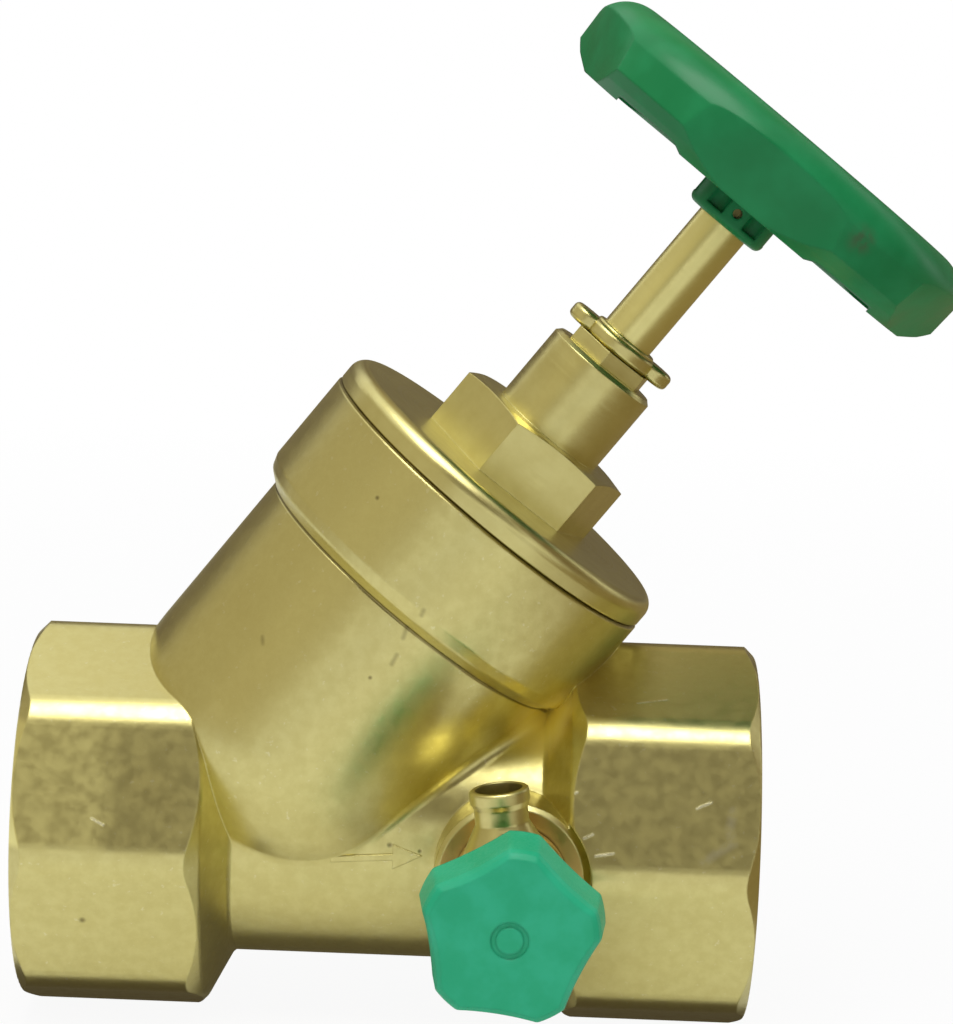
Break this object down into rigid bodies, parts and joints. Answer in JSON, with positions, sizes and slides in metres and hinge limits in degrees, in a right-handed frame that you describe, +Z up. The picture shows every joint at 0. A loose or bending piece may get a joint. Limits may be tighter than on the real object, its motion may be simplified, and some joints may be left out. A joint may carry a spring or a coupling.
{
  "type": "isolating valve",
  "caption": "Brass oblique-seat isolating valve with female threaded octagonal ends, a rising stem under a green handwheel and a small drain cock with a green knob",
  "frame": {"origin": "centre of the inlet's end face, on the pipe axis", "axes": "X runs along the pipe from inlet to outlet, Z is up, and the drain cock points to -Y; the branch leans from X towards Z"},
  "size_m": [0.1874, 0.1267, 0.2132],
  "materials": {
    "forged_brass": "satin, shot-blasted forging with machined faces",
    "turned_brass": "fine turned, satin",
    "seal_rubber": "matt black",
    "handwheel_green": "semi-gloss dark green",
    "knob_green": "satin bluish green",
    "fastener_steel": "plain zinc-plated steel"
  },
  "bodies": {
    "valve": {"valve_body": "forged_brass", "bonnet": "turned_brass", "bonnet_seal": "seal_rubber", "gland_nut": "turned_brass", "gland_plate": "turned_brass", "stem_o_ring_lower": "seal_rubber", "stem_o_ring_upper": "seal_rubber", "drain_body": "turned_brass", "drain_body_seal": "seal_rubber", "drain_gland": "turned_brass", "drain_o_ring": "seal_rubber"},
    "disc": {"disc": "turned_brass", "disc_snap_ring": "fastener_steel", "disc_seal": "seal_rubber", "disc_washer": "turned_brass", "disc_nut": "turned_brass"},
    "spindle": {"stem": "turned_brass", "handwheel": "handwheel_green", "handwheel_washer": "fastener_steel", "handwheel_screw": "fastener_steel"},
    "drain_plunger": {"drain_plunger": "turned_brass", "drain_seal": "seal_rubber"},
    "drain_spindle": {"drain_stem": "turned_brass", "drain_knob": "knob_green"}
  },
  "joints": [
    {"name": "disc_lift", "type": "slide", "parent": "valve", "child": "disc", "axis": [0.6129, 0, 0.7902], "range_m": [-0.024, 0]},
    {"name": "handwheel_turn", "type": "hinge", "parent": "disc", "child": "spindle", "pos_m": [0.07497, 0, 0.04599], "axis": [0.6129, 0, 0.7902], "range_deg": [-2880, 0]},
    {"name": "drain_lift", "type": "slide", "parent": "valve", "child": "drain_plunger", "axis": [0, -1, 0], "range_m": [0, 0.0032]},
    {"name": "drain_turn", "type": "hinge", "parent": "valve", "child": "drain_spindle", "pos_m": [0.1004, -0.06, -0.001], "axis": [0, -1, 0], "range_deg": [0, 720]}
  ],
  "couplings": [
    {"joint": "disc_lift", "follows": "handwheel_turn", "m_per_rad": 0.0004774},
    {"joint": "drain_lift", "follows": "drain_turn", "m_per_rad": 0.0002387}
  ]
}
